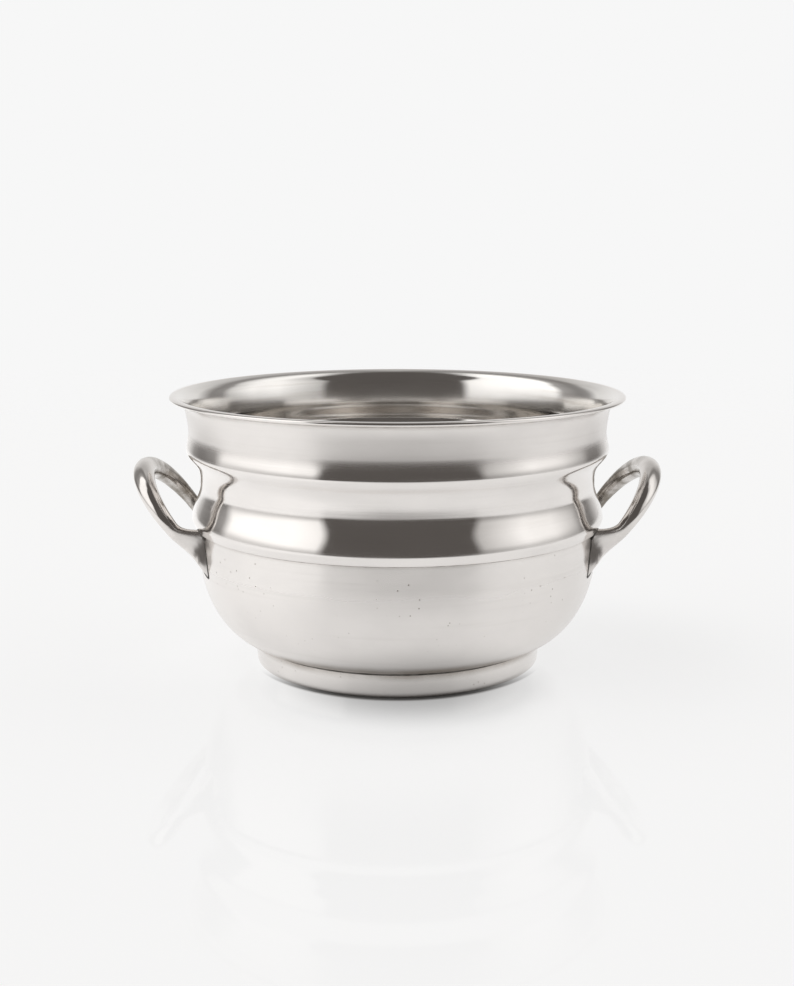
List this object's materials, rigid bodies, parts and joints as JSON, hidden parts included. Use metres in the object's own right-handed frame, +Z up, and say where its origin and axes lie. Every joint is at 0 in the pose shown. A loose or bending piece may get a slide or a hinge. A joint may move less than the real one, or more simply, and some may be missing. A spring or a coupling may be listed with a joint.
{
  "type": "two-handled cup",
  "caption": "Footed round cup in silver plate with a ridged, waisted collar, a flared wired rim and loop handles soldered to its sides.",
  "frame": {"origin": "on the ground under the cup's axis, level with the bottom of the foot ring", "axes": "+Z up along the cup's axis, +X towards the right handle, -Y towards the viewer of the picture"},
  "size_m": [0.1874, 0.16, 0.0965],
  "materials": {
    "silver_plate": "polished silver plate, slightly warm, with fine scratches, pits and light tarnish in the creases",
    "solder": "dull grey solder, darkened by tarnish"
  },
  "bodies": {
    "root": {"lower_bowl": "silver_plate", "upper_collar": "silver_plate", "rim_wire": "silver_plate", "foot_ring": "silver_plate", "left_handle": "silver_plate", "right_handle": "silver_plate", "seam_solder": "solder", "foot_solder": "solder", "rim_solder": "solder", "left_handle_front_solder": "solder", "left_handle_rear_solder": "solder", "right_handle_front_solder": "solder", "right_handle_rear_solder": "solder"}
  },
  "joints": []
}
